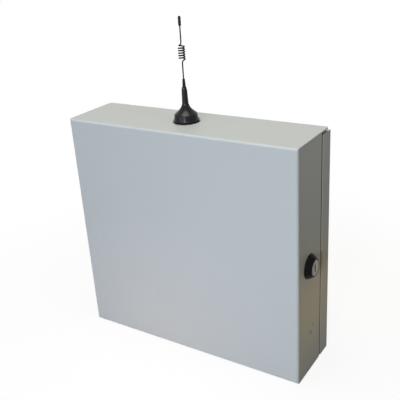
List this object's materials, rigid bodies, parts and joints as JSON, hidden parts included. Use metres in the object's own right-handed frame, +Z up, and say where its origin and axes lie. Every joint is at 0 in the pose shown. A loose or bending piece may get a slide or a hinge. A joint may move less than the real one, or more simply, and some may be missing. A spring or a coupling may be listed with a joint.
{
  "type": "traffic signal controller",
  "caption": "Wall-mounted traffic signal controller: folded sheet case with a hinged, lockable front cover, equipment inside and a magnetic whip antenna on its top.",
  "frame": {"origin": "centre of the wall bolt pattern, on the back face that lies against the wall", "axes": "+X to the right seen from the front, +Y into the wall, +Z up"},
  "size_m": [0.3034, 0.082, 0.3882],
  "materials": {
    "case_paint": "satin light grey powder coat, fine texture",
    "zinc_steel": "zinc plated",
    "collar_black": "black, slightly worn",
    "lock_chrome": "polished, with fine turning marks",
    "rubber_black": "matt",
    "magnet_black": "sintered, matt",
    "antenna_black": "satin black moulding",
    "whip_black": "black coated steel wire",
    "earth_brass": "bright",
    "device_grey": "light grey moulding",
    "lever_black": "black moulding",
    "cartridge_red": "red moulding",
    "terminal_grey": "grey moulding",
    "earth_green": "green and yellow moulding",
    "bare_aluminium": "mill finish",
    "supply_steel": "galvanised sheet",
    "chip_black": "moulded, fine matt",
    "board_green": "green solder mask",
    "spacer_brass": "nickel plated brass",
    "plug_green": "green moulding",
    "fuse_black": "black box",
    "lamp_red": "clear red",
    "capacitor_sleeve": "dark blue shrink sleeve",
    "display_bezel": "black bezel",
    "display_glass": "yellow-green display glass",
    "key_grey": "grey cap",
    "cell_steel": "bright steel can",
    "radio_can": "tin plated can",
    "jack_brass": "gold plated"
  },
  "bodies": {
    "case": {"back_pan": "case_paint", "hinge_pan_leaves": "case_paint", "hinge_pins": "zinc_steel", "lock_striker": "zinc_steel", "earth_stud": "zinc_steel", "earth_nut": "earth_brass", "mounting_rail": "zinc_steel", "rail_screws": "zinc_steel", "breaker_case": "device_grey", "arrester_base": "device_grey", "arrester_cartridges": "cartridge_red", "rail_terminals": "terminal_grey", "earth_terminals": "earth_green", "rail_end_stops": "terminal_grey", "supply_base": "bare_aluminium", "supply_cover": "supply_steel", "supply_terminals": "chip_black", "control_board": "board_green", "board_spacers": "spacer_brass", "board_screws": "zinc_steel", "output_headers": "plug_green", "output_plugs": "plug_green", "output_fuses": "fuse_black", "status_lamps": "lamp_red", "heat_sink": "bare_aluminium", "lamp_triacs": "chip_black", "processor_chip": "chip_black", "driver_chips": "chip_black", "filter_capacitors": "capacitor_sleeve", "display_frame": "display_bezel", "display_glass": "display_glass", "key_switches": "chip_black", "cell_holder": "chip_black", "coin_cell": "cell_steel", "radio_module": "radio_can", "antenna_jack": "jack_brass"},
    "door": {"door_shell": "case_paint", "hinge_door_leaves": "case_paint", "lock_collar": "collar_black", "lock_barrel": "lock_chrome", "lock_nut": "zinc_steel", "antenna_pad": "rubber_black", "antenna_magnet": "magnet_black", "antenna_foot": "antenna_black", "antenna_sleeve": "rubber_black", "antenna_whip": "whip_black", "antenna_tip": "antenna_black"},
    "lock_core": {"lock_plug": "lock_chrome", "lock_cam": "zinc_steel", "cam_screw": "zinc_steel"},
    "lever": {"breaker_lever": "lever_black"},
    "key_1": {"key_cap_1": "key_grey"},
    "key_2": {"key_cap_2": "key_grey"},
    "key_3": {"key_cap_3": "key_grey"},
    "key_4": {"key_cap_4": "key_grey"}
  },
  "joints": [
    {"name": "door_hinge", "type": "hinge", "parent": "case", "child": "door", "pos_m": [-0.1484, -0.023, 0], "axis": [0, 0, -1], "range_deg": [0, 110]},
    {"name": "lock_turn", "type": "hinge", "parent": "door", "child": "lock_core", "pos_m": [0.145, -0.054, -0.002], "axis": [-1, 0, 0], "range_deg": [0, 90]},
    {"name": "breaker_switch", "type": "hinge", "parent": "case", "child": "lever", "pos_m": [0.0098, -0.05754, 0.0743], "axis": [1, 0, 0], "range_deg": [0, 70]},
    {"name": "key_1_press", "type": "slide", "parent": "case", "child": "key_1", "axis": [0, 1, 0], "range_m": [0, 0.0005], "stiffness_N_per_m": 60},
    {"name": "key_2_press", "type": "slide", "parent": "case", "child": "key_2", "axis": [0, 1, 0], "range_m": [0, 0.0005], "stiffness_N_per_m": 60},
    {"name": "key_3_press", "type": "slide", "parent": "case", "child": "key_3", "axis": [0, 1, 0], "range_m": [0, 0.0005], "stiffness_N_per_m": 60},
    {"name": "key_4_press", "type": "slide", "parent": "case", "child": "key_4", "axis": [0, 1, 0], "range_m": [0, 0.0005], "stiffness_N_per_m": 60}
  ]
}
